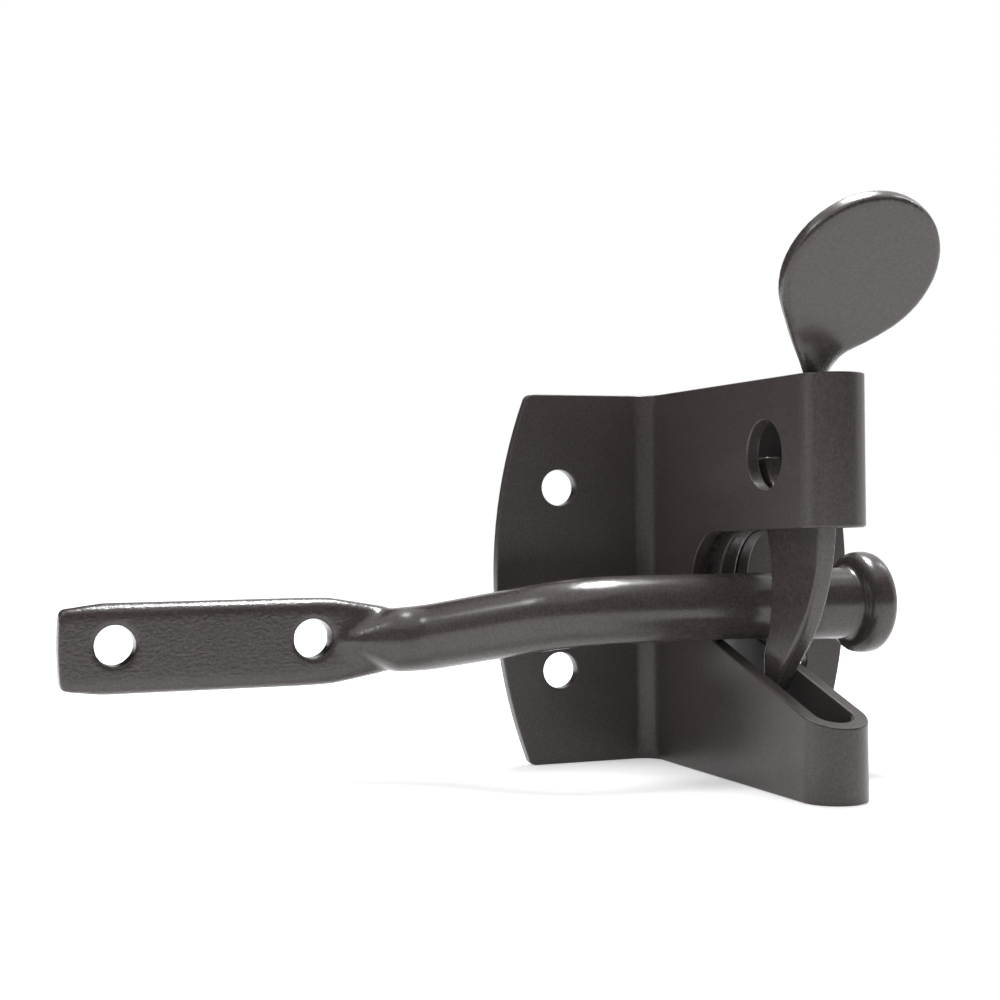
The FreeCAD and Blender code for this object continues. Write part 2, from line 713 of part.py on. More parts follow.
def make_spring(document):
    """The spring: a half turn of wire round the rivet, beside the pawl. One leg's
    end lies over the pawl's rear edge, the other's is in the wall."""
    body = new_body(document, "closing_spring")
    coil = size("coil_radius")
    half_wire = size("wire") / 2
    turn = anchor_turn
    start = (coil * cosine(turn), coil * sine(turn))
    moving = (start[0] - size("moving_leg") * sine(turn), start[1] + size("moving_leg") * cosine(turn))
    fixed = (anchor[0] - pivot[0], anchor[1] - pivot[1])
    below = (coil * sine(turn), -coil * cosine(turn))

    path = new_sketch(body, "wire_path", "YZ_Plane", shift=(0, 0, spring_x))
    draw_outline(path, [
        (moving[0], moving[1], 0, 0),
        (start[0], start[1], 0, -coil),
        (below[0], below[1], 0, -coil),
        (-start[0], -start[1], 0, 0),
        (fixed[0], fixed[1], 0, 0),
    ], closed=False)
    round_wire = new_sketch(body, "wire_section", "XY_Plane", (0, 1, 0), 0,
                            (spring_x, moving[0], moving[1]))
    draw_circle(round_wire, 0, 0, half_wire)
    pipe = body.newObject("PartDesign::AdditivePipe", "wire")
    pipe.Profile = round_wire
    pipe.Spine = path
    document.recompute()

    over = new_sketch(body, "moving_end", "YZ_Plane", shift=(0, 0, spring_x))
    draw_circle(over, moving[0], moving[1], half_wire)
    end = pad(body, "end_over_pawl", over, spring_x + size("plate_thickness") / 2, turned=True)
    into = new_sketch(body, "fixed_end", "YZ_Plane", shift=(0, 0, spring_x))
    draw_circle(into, fixed[0], fixed[1], half_wire)
    pad(body, "end_in_wall", into, outer_half - spring_x)
    bind(body, "Placement.Base.y", pivot[0])
    bind(body, "Placement.Base.z", pivot[1])
    document.recompute()
    return body


def make_striker(document):
    """The striker: head and neck, the bar with two bends, and its flat end."""
    body = new_body(document, "striker_bar")
    half = size("bar_diameter") / 2
    back_y = -half
    back_z = -size("flat_below")
    shift_y, shift_z = back_y - bar_y, back_z - bar_z
    offset = root(shift_y * shift_y + shift_z * shift_z)
    tilt_value = math.degrees(math.atan2(shift_z.value, shift_y.value))
    tilt = Measure(tilt_value, "atan2(" + shift_z.formula + "; " + shift_y.formula + ")")
    bend = slope(size("bend_angle") / 2)
    front = -size("bend_front")
    rear = front - offset / slope(size("bend_angle"))
    front_reach, rear_reach = size("bend_front_radius") * bend, size("bend_back_radius") * bend
    round_end = rear - rear_reach
    lean_x, lean_y = cosine(size("bend_angle")), sine(size("bend_angle"))

    path = new_sketch(body, "bar_path", "XY_Plane", (1, 0, 0), tilt)
    draw_outline(path, [
        (size("neck_start"), 0, 0, 0),
        (front + front_reach, 0, 0, -size("bend_front_radius")),
        (front - front_reach * lean_x, front_reach * lean_y, 0, 0),
        (rear + rear_reach * lean_x, offset - rear_reach * lean_y, 0, size("bend_back_radius")),
        (round_end, offset, 0, 0),
    ], closed=False)
    section = new_sketch(body, "bar_section", "YZ_Plane", shift=(0, 0, size("neck_start")))
    draw_circle(section, 0, 0, half)
    pipe = body.newObject("PartDesign::AdditivePipe", "bent_bar")
    pipe.Profile = section
    pipe.Spine = path
    document.recompute()

    make_head(body)
    make_flat(body, round_end, shift_y, shift_z)
    bind(body, "Placement.Base.y", bar_y)
    bind(body, "Placement.Base.z", bar_z)
    document.recompute()
    return body


def make_head(body):
    """The neck and head, turned about the bar's axis."""
    bar, neck, head = (size("bar_diameter") / 2, size("neck_diameter") / 2,
                       size("head_diameter") / 2)
    face = size("head_face")
    rounding = size("head_rounding")
    rim = face + size("head_width")
    dome = size("head_dome")
    disc = head - rounding
    sketch = new_sketch(body, "head_profile", "XY_Plane")
    draw_outline(sketch, [
        (size("neck_start") - bar / 4, 0, 0, 0),
        (rim + rounding + dome, 0, 0, (disc * disc + dome * dome) / (2 * dome)),
        (rim + rounding, disc, 0, rounding),
        (rim, head, 0, 0),
        (face + rounding, head, 0, rounding),
        (face, head - rounding, 0, 0),
        (face, neck, 0, 0),
        (size("neck_full"), neck, 0, 0),
        (size("neck_start"), bar, 0, 0),
        (size("neck_start") - bar / 4, bar, 0, 0),
    ])
    revolve(body, "neck_and_head", sketch)


def make_flat(body, round_end, shift_y, shift_z):
    """The flat end: a taper from the round bar, then a bar with rounded edges."""
    half = size("bar_diameter") / 2
    thick, tall = size("flat_thickness") / 2, size("flat_height") / 2
    edge = size("flat_edge")
    flat_y = half - thick
    start = round_end - size("flat_taper")
    end = start - size("flat_length")

    low = new_sketch(body, "round_section", "YZ_Plane", shift=(shift_y, shift_z, round_end))
    diagonal = half * 0.6
    rise = half * 0.8
    draw_outline(low, [
        (-diagonal, -rise, 0, half),
        (diagonal, -rise, 0, half),
        (diagonal, rise, 0, half),
        (-diagonal, rise, 0, half),
    ])
    high = new_sketch(body, "flat_section", "YZ_Plane", shift=(shift_y + flat_y, shift_z, start))
    draw_outline(high, [
        (-thick, edge - tall, 0, edge_bow(thick, edge)),
        (thick, edge - tall, 0, 0),
        (thick, tall - edge, 0, edge_bow(thick, edge)),
        (-thick, tall - edge, 0, 0),
    ])
    loft_through(body, "round_to_flat", [high, low])

    section = new_sketch(body, "flat_bar_section", "YZ_Plane",
                         shift=(shift_y + flat_y, shift_z, start))
    draw_outline(section, [
        (-thick, edge - tall, 0, edge_bow(thick, edge)),
        (thick, edge - tall, 0, 0),
        (thick, tall - edge, 0, edge_bow(thick, edge)),
        (-thick, tall - edge, 0, 0),
    ])
    pad(body, "flat_bar", section, size("flat_length"), turned=True)
    body.Document.recompute()

    trim_flat(body, end, shift_z)

    sketch = new_sketch(body, "bolt_holes", "XZ_Plane")
    first = start - size("bolt_first")
    bolt_z = shift_z + size("bolt_rise")
    draw_circle(sketch, first, bolt_z, size("bolt_hole") / 2)
    draw_circle(sketch, first - size("bolt_spacing"), bolt_z, size("bolt_hole") / 2)
    pocket_through(body, "bolt_hole_cut", sketch, both_sides=True)


def edge_bow(thick, edge):
    """The radius of an edge that is bowed by its rounding over the bar's thickness."""
    return (thick * thick + edge * edge) / (2 * edge)


def trim_flat(body, end, shift_z):
    """Shape the flat end's outline: narrowed a little, with a slight bow."""
    tall = size("flat_height") / 2
    bow = size("flat_end_bow")
    low = tall - size("nip_depth")
    drop = low * low / (2 * bow)
    out = end - size("flat_thickness")
    nip = end + size("nip_length")
    sketch = new_sketch(body, "end_waste", "XZ_Plane")
    draw_outline(sketch, [
        (out, shift_z - tall * 1.5, 0, 0),
        (nip, shift_z - tall * 1.5, 0, 0),
        (nip, shift_z - tall, 0, 0),
        (end + drop, shift_z - low, 0, -bow),
        (end + drop, shift_z + low, 0, 0),
        (nip, shift_z + tall, 0, 0),
        (nip, shift_z + tall * 1.5, 0, 0),
        (out, shift_z + tall * 1.5, 0, 0),
    ])
    pocket_through(body, "end_trim", sketch, both_sides=True)


def check_and_write(document, pieces):
    """Stop at anything that failed, then write each piece to its own file."""
    document.recompute()
    for item in document.Objects:
        if "Invalid" in item.State or "Error" in item.State:
            raise RuntimeError(item.Name + " failed: " + str(item.State))
        if item.isDerivedFrom("PartDesign::Feature") and item.Shape.Volume <= 0:
            raise RuntimeError(item.Name + " has no volume")
    os.makedirs("parts", exist_ok=True)
    for piece in pieces:
        shape = piece.Shape
        if shape.isNull() or not shape.isValid() or len(shape.Solids) != 1:
            raise RuntimeError(piece.Label + " is not one valid solid")
    for piece in pieces:
        box = piece.Shape.BoundBox
        print(piece.Label, "volume", round(piece.Shape.Volume, 1),
              "box", [round(v, 2) for v in (box.XMin, box.XMax, box.YMin, box.YMax, box.ZMin, box.ZMax)])
        piece.Shape.exportStep("parts/" + piece.Label + ".step")


def main():
    document = FreeCAD.newDocument("gate_latch")
    fill_sheet(document)
    pieces = [
        make_case(document),
        make_pawl(document),
        make_rivet(document),
        make_spring(document),
        make_striker(document),
    ]
    check_and_write(document, pieces)


main()
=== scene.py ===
# %% [markdown]
# # A spring loaded gate latch, black powder coat over steel
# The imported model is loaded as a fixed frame: case, pawl, rivet, spring and
# striker bar are already at their real size and place, in metres. What is left
# for this script is how they look: the paint, the small marks of forging and
# pressing, the light and the camera.

import math

import bpy
from mathutils import Matrix, Vector


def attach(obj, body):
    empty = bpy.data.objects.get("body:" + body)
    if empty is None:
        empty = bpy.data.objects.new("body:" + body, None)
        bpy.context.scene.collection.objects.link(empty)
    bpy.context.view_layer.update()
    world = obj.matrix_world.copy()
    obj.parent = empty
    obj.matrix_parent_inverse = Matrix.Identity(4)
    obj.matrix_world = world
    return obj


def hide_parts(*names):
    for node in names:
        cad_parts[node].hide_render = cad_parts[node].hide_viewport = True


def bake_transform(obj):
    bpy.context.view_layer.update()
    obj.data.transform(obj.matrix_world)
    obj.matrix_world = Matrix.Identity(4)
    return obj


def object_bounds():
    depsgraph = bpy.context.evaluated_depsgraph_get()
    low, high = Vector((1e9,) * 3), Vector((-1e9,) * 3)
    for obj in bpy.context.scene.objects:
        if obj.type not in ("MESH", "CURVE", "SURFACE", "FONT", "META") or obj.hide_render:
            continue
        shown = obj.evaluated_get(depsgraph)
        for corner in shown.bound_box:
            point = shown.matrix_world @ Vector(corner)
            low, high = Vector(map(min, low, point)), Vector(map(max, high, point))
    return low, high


MM = 0.001
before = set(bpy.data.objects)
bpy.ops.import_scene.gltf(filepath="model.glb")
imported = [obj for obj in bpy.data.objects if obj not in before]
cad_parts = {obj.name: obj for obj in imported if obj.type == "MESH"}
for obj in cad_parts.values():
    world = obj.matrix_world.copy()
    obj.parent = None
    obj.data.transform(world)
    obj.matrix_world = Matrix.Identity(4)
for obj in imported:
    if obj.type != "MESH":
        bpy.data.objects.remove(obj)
cad_low, cad_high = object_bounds()
print("frame:", sorted(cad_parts))
print("box in mm:", [[round(v / MM, 1) for v in corner] for corner in (cad_low, cad_high)])

# %% [markdown]
# The photograph looks at the latch from its left, about 20 degrees round from
# the front and level with the throat. A long lens keeps the perspective mild.
# The camera is placed by what it looks at: a point on the bar, a distance, and
# three small angles. Blender's cameras look down their own -Z axis, so the
# matrix takes the right, up and backward directions as its columns.

# %% The camera
YAW, PITCH, ROLL = math.radians(20.45), math.radians(-0.35), math.radians(-0.57)
LOOK_AT = Vector((-0.03435, 0.0, 0.01438))
DISTANCE = 305.8 * MM
SENSOR_WIDTH, LENS = 36.0, 61.2
forward = Vector((math.sin(YAW) * math.cos(PITCH), math.cos(YAW) * math.cos(PITCH),
                  -math.sin(PITCH)))
level = Vector((math.cos(YAW), -math.sin(YAW), 0.0))
upright = level.cross(forward)
right = level * math.cos(ROLL) + upright * math.sin(ROLL)
up = upright * math.cos(ROLL) - level * math.sin(ROLL)

bpy.ops.object.camera_add(location=LOOK_AT - forward * DISTANCE)
camera = bpy.context.object
camera.name = "product_camera"
turn = Matrix((right, up, -forward)).transposed()
camera.rotation_euler = turn.to_euler()
camera.data.sensor_width = SENSOR_WIDTH
camera.data.lens = LENS
camera.data.clip_start = 0.01
bpy.context.scene.camera = camera
print("camera at", [round(v, 4) for v in camera.location])

# %% [markdown]
# Black paint shows almost nothing of its own colour: it shows the room. So the
# light is planned as reflections. A pale floor lights the faces that tilt down,
# such as the thumb tab, a soft lamp overhead draws the bright streaks on the
# round bar, and the camera's side of the room stays darker, which keeps the
# flat faces near black.

# %% Helpers for materials
def linear(hex_colour):
    """An sRGB hex colour as the linear values that Blender's nodes work in."""
    parts = [int(hex_colour[i:i + 2], 16) / 255 for i in (1, 3, 5)]
    return [c / 12.92 if c <= 0.04045 else ((c + 0.055) / 1.055) ** 2.4 for c in parts] + [1.0]


def new_material(name):
    """A material with an empty node tree, for a finish that is named in words."""
    material = bpy.data.materials.new(name)
    material.use_nodes = True
    material.node_tree.nodes.clear()
    return material


def add_node(material, kind, settings=None, links=None, **values):
    """Add a node, set its properties and input values, and link its inputs."""
    node = material.node_tree.nodes.new(kind)
    for name, value in (settings or {}).items():
        setattr(node, name, value)
    for name, value in values.items():
        node.inputs[name.replace("_", " ")].default_value = value
    for name, socket in (links or {}).items():
        material.node_tree.links.new(socket, node.inputs[name])
    return node


print("white in linear:", linear("#ffffff"))

# %% The white table
FLOOR_Z = cad_low.z - 0.02 * MM
TABLE_SIZE, TABLE_GLOW = 8.0, 0.36


def seen_share(owner):
    """1 for camera, glossy and transmission rays, and 0 for all others."""
    path = add_node(owner, "ShaderNodeLightPath")
    seen = path.outputs["Is Camera Ray"]
    for name in ("Is Glossy Ray", "Is Transmission Ray"):
        seen = add_node(owner, "ShaderNodeMath", {"operation": "MAXIMUM"},
                        {0: seen, 1: path.outputs[name]}).outputs[0]
    return seen


table = new_material("matt white studio table")
lit = add_node(table, "ShaderNodeBsdfDiffuse", Color=linear("#f2f2f2"))
level = add_node(table, "ShaderNodeMath", {"operation": "MULTIPLY"}, {0: seen_share(table)})
level.inputs[1].default_value = TABLE_GLOW
glow = add_node(table, "ShaderNodeEmission", links={"Strength": level.outputs[0]},
                Color=linear("#ffffff"))
both = add_node(table, "ShaderNodeAddShader", links={0: lit.outputs[0], 1: glow.outputs[0]})
add_node(table, "ShaderNodeOutputMaterial", links={"Surface": both.outputs[0]})

bpy.ops.mesh.primitive_plane_add(size=TABLE_SIZE, location=(0, 0, FLOOR_Z))
floor = bpy.context.object
floor.name = "studio_table"
floor.data.materials.append(table)
print("table top at", round(1000 * FLOOR_Z, 2), "mm")

# %% The room round the table
SOFT_LIGHT, SEEN_WHITE = 0.78, 1.0
world = bpy.data.worlds.new("studio_room")
world.use_nodes = True
bpy.context.scene.world = world
world.node_tree.nodes.clear()
# Other rays light the object, so they get less than the white that is seen
soft = add_node(world, "ShaderNodeBackground", Color=linear("#ffffff"), Strength=SOFT_LIGHT)
white = add_node(world, "ShaderNodeBackground", Color=linear("#ffffff"), Strength=SEEN_WHITE)
either = add_node(world, "ShaderNodeMixShader", links={
    "Fac": seen_share(world), 1: soft.outputs[0], 2: white.outputs[0]})
add_node(world, "ShaderNodeOutputWorld", links={"Surface": either.outputs[0]})


def soft_lamp(name, place, look_at, width, height, power):
    """A rectangular area lamp that faces a point."""
    bpy.ops.object.light_add(type="AREA", location=place)
    lamp = bpy.context.object
    lamp.name = name
    lamp.data.shape = "RECTANGLE"
    lamp.data.size = width
    lamp.data.size_y = height
    lamp.data.energy = power
    lamp.rotation_euler = (Vector(look_at) - Vector(place)).to_track_quat("-Z", "Y").to_euler()
    return lamp


def card(name, place, look_at, width, height, colour, strength):
    """A card that only reflections see, so it shapes the gloss and no more."""
    bpy.ops.mesh.primitive_plane_add(size=1.0)
    sheet = bpy.context.object
    sheet.name = name
    sheet.dimensions = (width, height, 0)
    sheet.location = place
    sheet.rotation_euler = (Vector(look_at) - Vector(place)).to_track_quat("Z", "Y").to_euler()
    cover = new_material("cover of " + name)
    shine = add_node(cover, "ShaderNodeEmission", Color=linear(colour), Strength=strength)
    add_node(cover, "ShaderNodeOutputMaterial", links={"Surface": shine.outputs[0]})
    sheet.data.materials.append(cover)
    sheet.visible_camera = False
    sheet.visible_diffuse = False
    sheet.visible_shadow = False
    sheet.visible_transmission = False
    return sheet


def dark_card(name, place, look_at, width, height, colour):
    """A felt card that keeps a side of the paint dark."""
    return card(name, place, look_at, width, height, colour, 1.0)


def bright_card(name, place, look_at, width, height, strength):
    """A white softbox front that draws a crisp streak on gloss."""
    return card(name, place, look_at, width, height, "#ffffff", strength)


# Each has its place, what it faces, its width and height in metres, and last
# a lamp's power in watts or a card's colour or strength
LATCH, ABOVE = (-0.02, -0.03, 0.0), (0, 0, 0.1)
soft_lamp("overhead_lamp", (0.085, 0.10, 0.62), LATCH, 0.24, 0.26, 4.2)
soft_lamp("left_lamp", (-0.55, 0.05, 0.55), LATCH, 0.15, 0.15, 0.8)
dark_card("card_behind", (-0.72, 1.0, 0.55), (-0.3, 0, 0.1), 1.8, 1.2, "#101010")
bright_card("softbox", (0.075, 0.10, 0.60), LATCH, 0.13, 0.24, 58.0)
bright_card("strip_right", (0.42, 0.05, 0.42), (0.0, -0.03, 0.0), 0.05, 0.20, 14.0)
dark_card("card_in_front", (0.2, -0.6, 0.3), ABOVE, 1.4, 0.75, "#404040")
dark_card("card_left", (-0.75, -0.5, 0.3), ABOVE, 1.15, 0.75, "#565656")

# %% [markdown]
# The whole latch is steel with a black powder coat: the powder melts in an oven
# and levels to a semi-gloss skin with a faint orange peel, a ripple of about
# 1.6 mm, and a fine grain of specks. Edges come out rounded, because the melted
# powder pulls back from them; that is made as real bevels on the pieces below.

# %% The paint
GRAIN_MM, CLOUD_MM, MARK_MM, WIRE_MM = 0.45, 9.0, 0.6, 1.0
MARKS_START, MARKS_FULL = -56 * MM, -64 * MM


def cells(millimetres):
    """The scale of a noise whose cells are about this many millimetres."""
    return 1000.0 / millimetres


def powder_coat(name, base="#3d3736", gloss=0.25, ripple_mm=1.6, pressed=False):
    """Semi-gloss black powder coat on steel."""
    paint = new_material(name)
    place = add_node(paint, "ShaderNodeTexCoord")
    point = place.outputs["Object"]
    ripple = add_node(paint, "ShaderNodeTexNoise", links={"Vector": point},
                      Scale=cells(ripple_mm), Detail=2.0, Roughness=0.5)
    grain = add_node(paint, "ShaderNodeTexNoise", links={"Vector": point},
                     Scale=cells(GRAIN_MM), Detail=2.0, Roughness=0.6)
    cloud = add_node(paint, "ShaderNodeTexNoise", links={"Vector": point},
                     Scale=cells(CLOUD_MM), Detail=4.0, Roughness=0.6)
    rough = add_node(paint, "ShaderNodeMapRange", {"interpolation_type": "SMOOTHERSTEP"},
                     {"Value": cloud.outputs[0]}, From_Min=0.1, From_Max=0.9,
                    To_Min=gloss - 0.04, To_Max=gloss + 0.05)
    tint = add_node(paint, "ShaderNodeMapRange", {"interpolation_type": "SMOOTHERSTEP"},
                    {"Value": grain.outputs[0]}, From_Min=0.1, From_Max=0.9,
                    To_Min=0.7, To_Max=1.35)
    shade = add_node(paint, "ShaderNodeVectorMath", {"operation": "SCALE"},
                     {"Scale": tint.outputs[0]})
    shade.inputs[0].default_value = linear(base)[:3]
    wave = add_node(paint, "ShaderNodeBump", links={"Height": ripple.outputs[0]},
                    Strength=0.3, Distance=0.04 * MM)
    if pressed:
        wave = press_marks(paint, point, wave)
    speck = add_node(paint, "ShaderNodeBump", links={
        "Height": grain.outputs[0], "Normal": wave.outputs[0]}, Strength=0.5,
                    Distance=0.015 * MM)
    skin = add_node(paint, "ShaderNodeBsdfPrincipled", links={
        "Base Color": shade.outputs[0], "Roughness": rough.outputs[0],
        "Normal": speck.outputs[0]}, IOR=1.5)
    add_node(paint, "ShaderNodeOutputMaterial", links={"Surface": skin.outputs[0]})
    return paint


def press_marks(paint, point, wave):
    """Shallow marks of the flattening dies, only on the bar's flat end."""
    where = add_node(paint, "ShaderNodeSeparateXYZ", links={"Vector": point})
    flat = add_node(paint, "ShaderNodeMapRange", {"interpolation_type": "SMOOTHSTEP"},
                    {"Value": where.outputs["X"]}, From_Min=MARKS_START,
                    From_Max=MARKS_FULL, To_Min=0.0, To_Max=1.0)
    # The marks are 0.6 mm across the bar and half as long again along it
    longer = add_node(paint, "ShaderNodeMapping", {"vector_type": "POINT"}, {"Vector": point})
    longer.inputs["Scale"].default_value = (1 / 1.5, 1.0, 1.0)
    marks = add_node(paint, "ShaderNodeTexNoise", links={"Vector": longer.outputs[0]},
                     Scale=cells(MARK_MM), Detail=3.0, Roughness=0.55)
    height = add_node(paint, "ShaderNodeMath", {"operation": "MULTIPLY"},
                      {0: marks.outputs[0], 1: flat.outputs[0]})
    return add_node(paint, "ShaderNodeBump", links={
        "Height": height.outputs[0], "Normal": wave.outputs[0]}, Strength=0.8,
                    Distance=0.1 * MM)


case_paint = powder_coat("black powder coat on folded sheet", gloss=0.31)
pawl_paint = powder_coat("black powder coat on stamped plate")
bar_paint = powder_coat("black powder coat on forged bar", gloss=0.23, pressed=True)
rivet_paint = powder_coat("black powder coat on rivet")


def bright_wire(name):
    """Drawn spring wire with a light oil film."""
    steel = new_material(name)
    place = add_node(steel, "ShaderNodeTexCoord")
    noise = add_node(steel, "ShaderNodeTexNoise", links={"Vector": place.outputs["Object"]},
                     Scale=cells(WIRE_MM), Detail=3.0)
    rough = add_node(steel, "ShaderNodeMapRange", links={"Value": noise.outputs[0]},
                     To_Min=0.25, To_Max=0.45)
    skin = add_node(steel, "ShaderNodeBsdfPrincipled", links={"Roughness": rough.outputs[0]},
                    Base_Color=linear("#9a978f"), Metallic=1.0)
    add_node(steel, "ShaderNodeOutputMaterial", links={"Surface": skin.outputs[0]})
    return steel


spring_steel = bright_wire("drawn spring steel wire")

for node_name, paint in (("latch_case", case_paint), ("latch_pawl", pawl_paint),
                         ("striker_bar", bar_paint), ("pivot_rivet", rivet_paint),
                         ("closing_spring", spring_steel)):
    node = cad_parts[node_name]
    node.data.materials.clear()
    node.data.materials.append(paint)
print("painted:", sorted(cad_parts))

# %% [markdown]
# The pawl is one stamped plate. Above the case its stem is twisted a quarter
# turn while it leans forward, and ends in a drop-shaped thumb tab. The packed
# node has this form with plain joins, so the upper part is made again the way
# the press makes it: a flat blank is drawn out section by section, then twisted
# and bent in small steps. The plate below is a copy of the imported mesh.

# %% Copy the flat plate of the pawl
def deselect_all():
    """Leave nothing selected, because an operator acts on all that is."""
    if bpy.context.object and bpy.context.object.mode != "OBJECT":
        bpy.ops.object.mode_set(mode="OBJECT")
    bpy.ops.object.select_all(action="DESELECT")


def make_active(thing):
    """Select one object alone and make it the active one."""
    deselect_all()
    thing.select_set(True)
    bpy.context.view_layer.objects.active = thing


def select_points(piece, wanted):
    """Go to edit mode with only the vertices selected that wanted(v) names."""
    bpy.ops.object.mode_set(mode="EDIT")
    bpy.ops.mesh.select_mode(type="VERT")
    bpy.ops.mesh.select_all(action="DESELECT")
    bpy.ops.object.mode_set(mode="OBJECT")
    for vertex in piece.data.vertices:
        vertex.select = wanted(vertex)
    bpy.ops.object.mode_set(mode="EDIT")


MERGE = 0.002 * MM


def copy_of_node(node_name, new_name):
    """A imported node's mesh as a new piece, its loose triangles merged."""
    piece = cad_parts[node_name].copy()
    piece.data = piece.data.copy()
    piece.name = new_name
    bpy.context.scene.collection.objects.link(piece)
    piece.parent = None
    piece.matrix_world = Matrix.Identity(4)
    make_active(piece)
    bpy.ops.object.mode_set(mode="EDIT")
    bpy.ops.mesh.select_all(action="SELECT")
    bpy.ops.mesh.remove_doubles(threshold=MERGE)
    bpy.ops.object.mode_set(mode="OBJECT")
    return piece


STEM_CUT = 27.5 * MM
plate = copy_of_node("latch_pawl", "pawl_plate")
bpy.ops.object.mode_set(mode="EDIT")
bpy.ops.mesh.select_all(action="SELECT")
bpy.ops.mesh.bisect(plane_co=(0, 0, STEM_CUT), plane_no=(0, 0, 1), clear_outer=True,
                    use_fill=True)
bpy.ops.object.mode_set(mode="OBJECT")
stem_edge = [v.co for v in plate.data.vertices if abs(v.co.z - STEM_CUT) < 1e-6]
stem_front = min(co.y for co in stem_edge)
stem_back = max(co.y for co in stem_edge)
print("stem at the cut in mm:", round(1000 * stem_front, 2), round(1000 * stem_back, 2))

# %% Draw out the blank of the stem and tab
OVERLAP = 0.6 * MM
STEM_HALF, WEB_BLEND = 2.9 * MM, 1.2 * MM
NECK_STEP, NECK_SECTIONS, DISC_STEPS = 0.75 * MM, 23, 24
PLATE = 3.0 * MM
CASE_TOP = 33.6 * MM
NECK_Y = -51.4 * MM
TAB_FOOT = 36.74 * MM
TAB_ROUND = 13.05 * MM
ROUND_UP, ROUND_SIDE = 15.8 * MM, 1.0 * MM
LEFT_LEAN, RIGHT_LEAN = math.radians(33), math.radians(53)


def web_line(height, lean, side):
    """Half outline of the drop where it tapers to the neck, on one side."""
    touch_across = TAB_ROUND * math.cos(lean)
    touch_up = ROUND_UP - TAB_ROUND * math.sin(lean)
    return ROUND_SIDE + side * (touch_across - (touch_up - height) * math.tan(lean))


def soft_most(a, b, blend):
    """The larger of two lengths, with a rounded change between them."""
    return 0.5 * (a + b + math.sqrt((a - b) ** 2 + blend ** 2))


def outline_at(height):
    """Left and right reach of the blank at a height over the tab's foot."""
    down = max(0.0, min(1.0, (CASE_TOP - TAB_FOOT - height) / (CASE_TOP - STEM_CUT)))
    stem_left = STEM_HALF + down * (NECK_Y - STEM_HALF - stem_front)
    stem_right = STEM_HALF + down * (stem_back - NECK_Y - STEM_HALF)
    if height > ROUND_UP - TAB_ROUND * math.sin(LEFT_LEAN):
        reach = math.sqrt(max(TAB_ROUND ** 2 - (height - ROUND_UP) ** 2, 0.0))
        left = reach - ROUND_SIDE
    else:
        left = soft_most(stem_left, -web_line(height, LEFT_LEAN, -1), WEB_BLEND)
    if height > ROUND_UP - TAB_ROUND * math.sin(RIGHT_LEAN):
        reach = math.sqrt(max(TAB_ROUND ** 2 - (height - ROUND_UP) ** 2, 0.0))
        right = reach + ROUND_SIDE
    else:
        right = soft_most(stem_right, web_line(height, RIGHT_LEAN, 1), WEB_BLEND)
    return left, right


heights = [STEM_CUT - TAB_FOOT + step * NECK_STEP for step in range(NECK_SECTIONS)]
first_angle = math.asin((heights[-1] + 0.8 * MM - ROUND_UP) / TAB_ROUND)
for step in range(DISC_STEPS + 1):
    angle = first_angle + (math.radians(87.5) - first_angle) * step / DISC_STEPS
    heights.append(ROUND_UP + TAB_ROUND * math.sin(angle))

deselect_all()
bpy.ops.mesh.primitive_grid_add(x_subdivisions=2, y_subdivisions=8, size=1.0,
                                location=(0, NECK_Y, TAB_FOOT + heights[0] - OVERLAP))
tab = bpy.context.object
tab.name = "thumb_tab"
bpy.ops.object.mode_set(mode="EDIT")
bpy.ops.mesh.select_all(action="SELECT")
left, right = outline_at(heights[0])
centre = NECK_Y + (right - left) / 2
bpy.ops.transform.resize(value=(PLATE, left + right, 1.0), center_override=(0, NECK_Y, 0))
bpy.ops.transform.translate(value=(0, centre - NECK_Y, 0))
for low, high in zip([heights[0] - OVERLAP] + heights[1:-1], heights[1:]):
    old_width, old_centre = left + right, centre
    left, right = outline_at(high)
    centre = NECK_Y + (right - left) / 2
    bpy.ops.mesh.extrude_region_move(
        TRANSFORM_OT_translate={"value": (0, centre - old_centre, high - low)})
    bpy.ops.transform.resize(value=(1.0, (left + right) / old_width, 1.0),
                             center_override=(0, centre, TAB_FOOT + high))
bpy.ops.object.mode_set(mode="OBJECT")
bpy.ops.object.transform_apply(location=True, rotation=True, scale=True)
print("blank of the tab:", len(tab.data.vertices), "points,", len(heights), "sections")

# %% Twist and bend the blank
TWIST_FROM, TWIST_TO = -9.5 * MM, 4.2 * MM
BEND_FROM, BEND_TO = -6.0 * MM, -1.0 * MM
TAB_LEAN = math.radians(38)


def ease(height, low, high):
    """Share of a turn done at a height: slow at both ends, as metal bends."""
    t = max(0.0, min(1.0, (height - low) / (high - low)))
    return t * t * (3 - 2 * t)


section_of = [min(range(len(heights)), key=lambda i: abs(TAB_FOOT + heights[i] - v.co.z))
              for v in tab.data.vertices]


def turn_above(piece, section, angle, axis, centre):
    """Turn all sections from one up, about a line through a centre."""
    select_points(piece, lambda v: section_of[v.index] >= section)
    # With no window this operator turns the other way, hence the minus
    bpy.ops.transform.rotate(value=-angle, orient_axis=axis, center_override=centre)
    bpy.ops.object.mode_set(mode="OBJECT")


